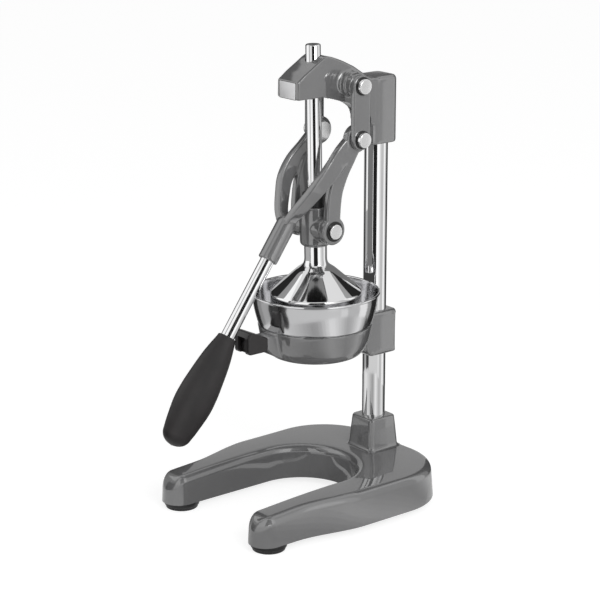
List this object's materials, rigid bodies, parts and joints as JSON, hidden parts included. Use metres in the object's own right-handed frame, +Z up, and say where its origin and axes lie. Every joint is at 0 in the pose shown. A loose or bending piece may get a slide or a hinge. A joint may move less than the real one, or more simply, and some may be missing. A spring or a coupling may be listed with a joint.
{
  "type": "lever citrus juice press",
  "caption": "Bench-top lever press for citrus fruit: a long handle, links and a fork drive a rod and press bell into a steel bowl with a strainer cone over a spout.",
  "frame": {"origin": "on the table, under the middle of the bounding box of the whole press at rest", "axes": "+Z up, -Y towards the user and the handle, +X to the user's right"},
  "size_m": [0.202, 0.2948, 0.4711],
  "materials": {
    "paint": "gloss mid-grey paint over castings",
    "chrome": "polished chrome",
    "bowl_steel": "satin stainless steel",
    "hardware_steel": "plain steel",
    "rubber": "matte black rubber",
    "grip": "matte black moulding",
    "bronze": "plain bronze"
  },
  "bodies": {
    "frame": {"base_casting": "paint", "foot_front_left": "rubber", "foot_front_right": "rubber", "foot_rear_left": "rubber", "foot_rear_right": "rubber", "foot_screws": "hardware_steel", "post_tube": "chrome", "post_plug": "hardware_steel", "base_bolt": "hardware_steel", "base_washer": "hardware_steel", "head_casting": "paint", "head_set_screws": "hardware_steel", "nose_plate": "hardware_steel", "guide_bush_upper": "bronze", "guide_bush_lower": "bronze", "bowl_bracket": "paint", "bracket_set_screws": "hardware_steel", "handle_rest": "grip", "handle_rest_screw": "hardware_steel", "steel_bowl": "bowl_steel", "strainer_cone": "bowl_steel", "upper_pivot_pin": "chrome", "upper_pin_cap": "chrome"},
    "links": {"left_link": "paint", "right_link": "paint", "link_bushes_upper": "rubber", "link_bushes_middle": "rubber"},
    "lever": {"lever_fork": "paint", "fork_bushes": "rubber", "middle_pin_left": "chrome", "middle_pin_right": "chrome", "middle_pin_caps": "chrome", "handle_tube": "chrome", "socket_screw": "hardware_steel", "handle_grip": "grip"},
    "plunger": {"press_rod": "chrome", "rod_collar": "paint", "collar_screw": "hardware_steel", "rubber_buffer": "rubber", "lower_pin_left": "chrome", "lower_pin_right": "chrome", "press_bell": "chrome", "bell_screw": "hardware_steel"}
  },
  "joints": [
    {"name": "links_hinge", "type": "hinge", "parent": "frame", "child": "links", "pos_m": [0, 0.06602, 0.4316], "axis": [1, 0, 0], "range_deg": [0, 60]},
    {"name": "lever_hinge", "type": "hinge", "parent": "links", "child": "lever", "pos_m": [0, 0.06602, 0.3788], "axis": [1, 0, 0], "range_deg": [-95.85, 0]},
    {"name": "plunger_hinge", "type": "hinge", "parent": "lever", "child": "plunger", "pos_m": [0, 0.03842, 0.2895], "axis": [1, 0, 0], "range_deg": [0, 35.73]}
  ],
  "couplings": [
    {"joint": "lever_hinge", "follows": "links_hinge", "ratio": -1.5975},
    {"joint": "plunger_hinge", "follows": "links_hinge", "ratio": 0.5955}
  ]
}
